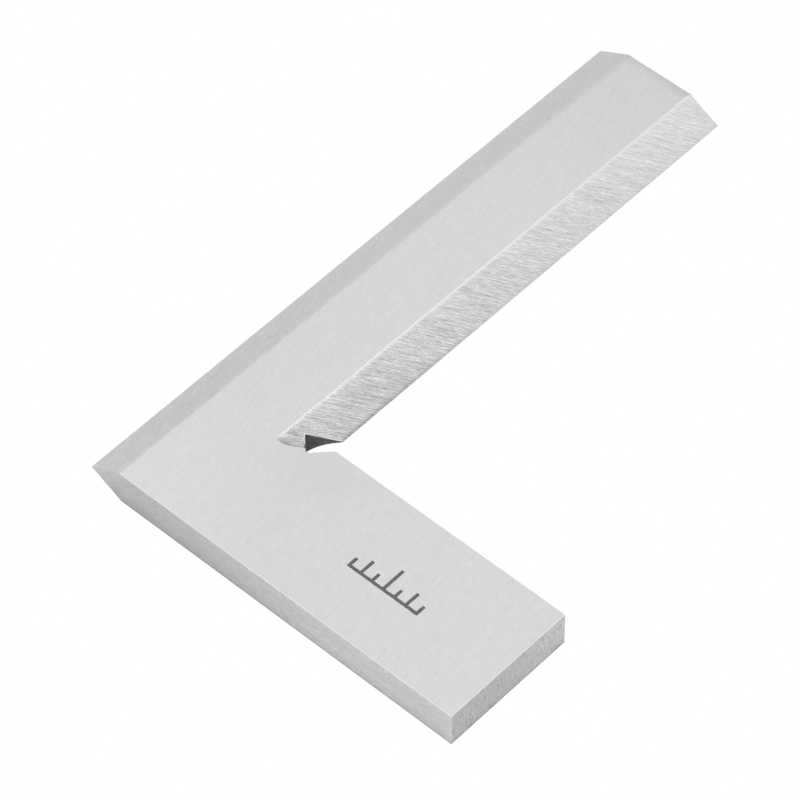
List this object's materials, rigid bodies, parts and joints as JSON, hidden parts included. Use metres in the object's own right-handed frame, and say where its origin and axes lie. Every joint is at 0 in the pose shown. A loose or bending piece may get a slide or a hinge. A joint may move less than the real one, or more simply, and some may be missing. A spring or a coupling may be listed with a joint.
{
  "type": "knife-edge square",
  "caption": "Flat one-piece steel square: a blade with bevelled knife edges on both long sides, a plain stock at a right angle, and a relief slot in the inner corner.",
  "frame": {"origin": "the outer corner, where the outer knife edge meets the base face, at mid-thickness", "axes": "+X along the stock, +Y along the blade, +Z out of the marked broad face; the base face is y = 0, the outer knife edge is x = 0, and the broad faces are z = -2.3 mm and z = +2.3 mm"},
  "size_m": [0.05, 0.08, 0.0046],
  "materials": {
    "ground_steel": "satin ground, coarser streaks on the inner bevels, dark heat scale inside the relief slot",
    "dark_etch": "matt dark electro-etch"
  },
  "bodies": {
    "root": {"square_body": "ground_steel", "etched_mark": "dark_etch"}
  },
  "joints": []
}
